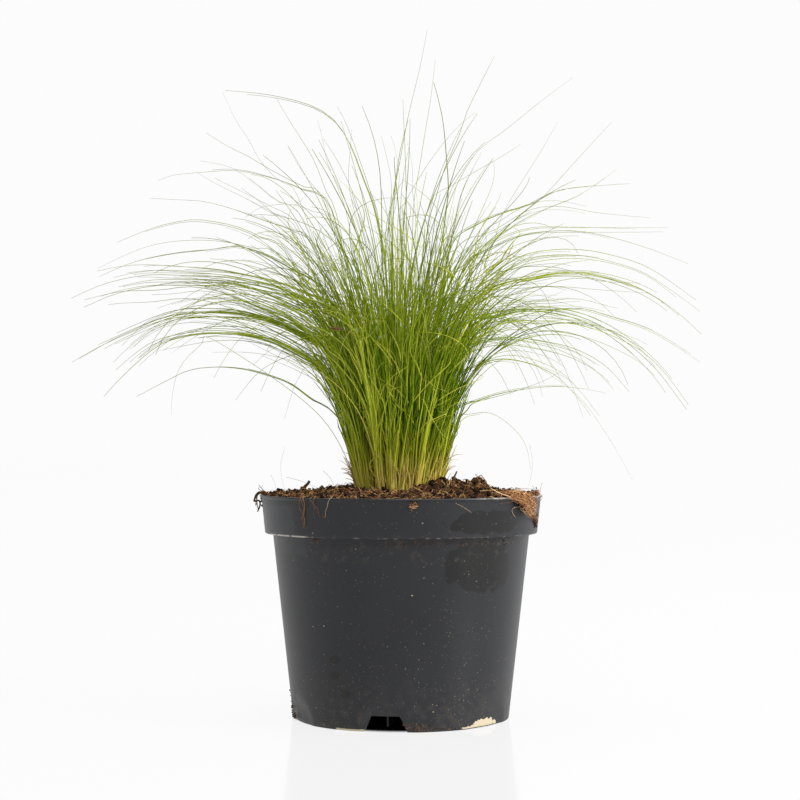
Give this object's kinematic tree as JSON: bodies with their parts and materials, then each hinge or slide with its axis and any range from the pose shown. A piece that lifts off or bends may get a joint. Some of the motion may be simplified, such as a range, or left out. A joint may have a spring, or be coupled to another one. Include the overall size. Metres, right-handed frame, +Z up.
{
  "type": "potted mexican feather grass",
  "caption": "Mexican feather grass in a black nursery pot: fine green blades fan out and arch over from a crown in dark potting soil, with a wad of coir over the lip.",
  "frame": {"origin": "on the pot's axis, at the surface the pot stands on", "axes": "+Z up along the pot's axis, -Y towards the front with the nearest drain notch, +X to the right"},
  "size_m": [0.38, 0.38, 0.4111],
  "materials": {
    "pot_plastic": "satin black moulded plastic, dusty and water-stained",
    "potting_soil": "damp peat soil with bark chips and roots, matte",
    "coir_fibre": "dry coconut fibre, matte",
    "grass_blades": "living grass, straw yellow at the foot, green above, pale grey-green at the tips"
  },
  "bodies": {
    "root": {"pot": "pot_plastic", "soil": "potting_soil", "coir_wad": "coir_fibre", "tuft_heart": "grass_blades", "tuft_inner_01": "grass_blades", "tuft_inner_02": "grass_blades", "tuft_inner_03": "grass_blades", "tuft_inner_04": "grass_blades", "tuft_inner_05": "grass_blades", "tuft_inner_06": "grass_blades", "tuft_middle_01": "grass_blades", "tuft_middle_02": "grass_blades", "tuft_middle_03": "grass_blades", "tuft_middle_04": "grass_blades", "tuft_middle_05": "grass_blades", "tuft_middle_06": "grass_blades", "tuft_middle_07": "grass_blades", "tuft_middle_08": "grass_blades", "tuft_middle_09": "grass_blades", "tuft_middle_10": "grass_blades", "tuft_middle_11": "grass_blades", "tuft_middle_12": "grass_blades", "tuft_outer_01": "grass_blades", "tuft_outer_02": "grass_blades", "tuft_outer_03": "grass_blades", "tuft_outer_04": "grass_blades", "tuft_outer_05": "grass_blades", "tuft_outer_06": "grass_blades", "tuft_outer_07": "grass_blades", "tuft_outer_08": "grass_blades", "tuft_outer_09": "grass_blades", "tuft_outer_10": "grass_blades", "tuft_outer_11": "grass_blades", "tuft_outer_12": "grass_blades", "tuft_outer_13": "grass_blades", "tuft_outer_14": "grass_blades", "tuft_outer_15": "grass_blades", "tuft_outer_16": "grass_blades", "tuft_skirt_01": "grass_blades", "tuft_skirt_02": "grass_blades", "tuft_skirt_03": "grass_blades", "tuft_skirt_04": "grass_blades", "tuft_skirt_05": "grass_blades", "tuft_skirt_06": "grass_blades", "tuft_skirt_07": "grass_blades", "tuft_skirt_08": "grass_blades", "tuft_skirt_09": "grass_blades", "tuft_skirt_10": "grass_blades", "tuft_skirt_11": "grass_blades", "tuft_skirt_12": "grass_blades", "tuft_skirt_13": "grass_blades", "tuft_skirt_14": "grass_blades", "tuft_skirt_15": "grass_blades", "tuft_skirt_16": "grass_blades", "tuft_skirt_17": "grass_blades", "tuft_skirt_18": "grass_blades", "tuft_skirt_19": "grass_blades", "tuft_skirt_20": "grass_blades"}
  },
  "joints": []
}
